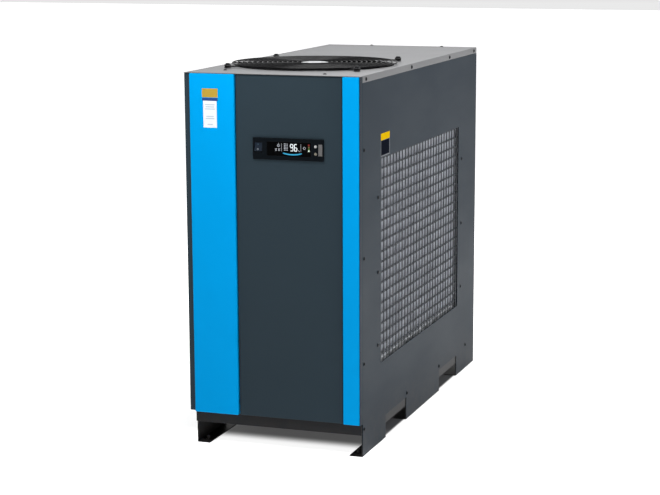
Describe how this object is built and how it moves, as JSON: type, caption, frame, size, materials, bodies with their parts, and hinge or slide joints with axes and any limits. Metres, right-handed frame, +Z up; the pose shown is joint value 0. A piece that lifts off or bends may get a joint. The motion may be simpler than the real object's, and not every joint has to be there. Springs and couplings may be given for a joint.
{
  "type": "refrigerated compressed-air dryer",
  "caption": "Floor-standing refrigerated compressed-air dryer: sheet-metal cabinet with side air intake, top fan, front controller and flanged rear ports.",
  "frame": {"origin": "on the floor, at the centre of the whole machine's footprint, rear pipe flanges included", "axes": "+Z up, front panel and controller face -Y, pipe ports leave towards +Y, air intake on +X"},
  "size_m": [0.611, 1.517, 1.2672],
  "materials": {
    "blue_paint": "satin powder coat",
    "charcoal_paint": "fine-textured powder coat",
    "panel_paint": "fine-textured powder coat",
    "black_paint": "satin",
    "black_plastic": "fine grain",
    "lens": "gloss window",
    "white_plastic": "smooth",
    "grey_rubber": "ribbed",
    "black_rubber": "matt",
    "aluminium": "mill finish",
    "galvanised": "galvanised",
    "copper": "drawn copper tube",
    "brass": "turned",
    "steel": "satin",
    "red_lever": "dipped"
  },
  "bodies": {
    "cabinet": {"base_pan": "black_paint", "left_rail": "black_paint", "right_rail": "black_paint", "front_left_post": "panel_paint", "front_right_post": "panel_paint", "rear_left_post": "panel_paint", "rear_right_post": "panel_paint", "top_cover": "panel_paint", "left_side_panel": "panel_paint", "right_side_panel": "panel_paint", "rear_panel": "panel_paint", "front_left_panel": "blue_paint", "front_center_panel": "charcoal_paint", "front_right_panel": "blue_paint", "intake_screen": "black_paint", "condenser_core": "aluminium", "condenser_frame": "galvanised", "fan_guard": "black_paint", "guard_foot_front_left": "black_plastic", "guard_foot_front_right": "black_plastic", "guard_foot_rear_left": "black_plastic", "guard_foot_rear_right": "black_plastic", "fan_shroud": "black_paint", "motor_bracket": "galvanised", "fan_motor": "black_paint", "compressor": "black_paint", "compressor_terminal_box": "black_plastic", "compressor_mount_1": "black_rubber", "compressor_mount_2": "black_rubber", "compressor_mount_3": "black_rubber", "compressor_mount_4": "black_rubber", "liquid_receiver": "black_paint", "filter_drier": "steel", "sight_glass": "brass", "expansion_valve": "brass", "hot_gas_valve": "brass", "discharge_line": "copper", "condenser_line": "copper", "receiver_line": "copper", "liquid_line": "copper", "suction_line": "copper", "hot_gas_line": "copper", "heat_exchanger": "aluminium", "moisture_separator": "aluminium", "inlet_pipe": "black_paint", "outlet_pipe": "black_paint", "drain_valve": "black_plastic", "drain_line": "black_plastic", "drain_ball_valve": "brass", "electrical_plate": "galvanised", "contactor": "black_plastic", "cable_gland": "black_plastic", "controller_bezel": "black_plastic", "display_lens": "lens"},
    "fan": {"fan_rotor": "black_plastic"},
    "rocker": {"power_rocker": "black_plastic"},
    "button_upper": {"upper_button": "white_plastic"},
    "button_lower": {"lower_button": "white_plastic"},
    "flap": {"port_flap": "grey_rubber"},
    "lever": {"drain_lever": "red_lever"}
  },
  "joints": [
    {"name": "fan_spin", "type": "hinge", "parent": "cabinet", "child": "fan", "pos_m": [0, -0.3335, 1.18], "axis": [0, 0, 1], "continuous": true},
    {"name": "rocker_tilt", "type": "hinge", "parent": "cabinet", "child": "rocker", "pos_m": [-0.0446, -0.7485, 1.0155], "axis": [1, 0, 0], "range_deg": [0, 16]},
    {"name": "upper_button_press", "type": "slide", "parent": "cabinet", "child": "button_upper", "axis": [0, 1, 0], "range_m": [0, 0.0015], "stiffness_N_per_m": 300},
    {"name": "lower_button_press", "type": "slide", "parent": "cabinet", "child": "button_lower", "axis": [0, 1, 0], "range_m": [0, 0.0015], "stiffness_N_per_m": 300},
    {"name": "flap_open", "type": "hinge", "parent": "cabinet", "child": "flap", "pos_m": [0.175, -0.7567, 1.012], "axis": [0, 0, 1], "range_deg": [0, 110]},
    {"name": "drain_lever_turn", "type": "hinge", "parent": "cabinet", "child": "lever", "pos_m": [0.0764, 0.713, 0.15], "axis": [-1, 0, 0], "range_deg": [0, 90]}
  ]
}
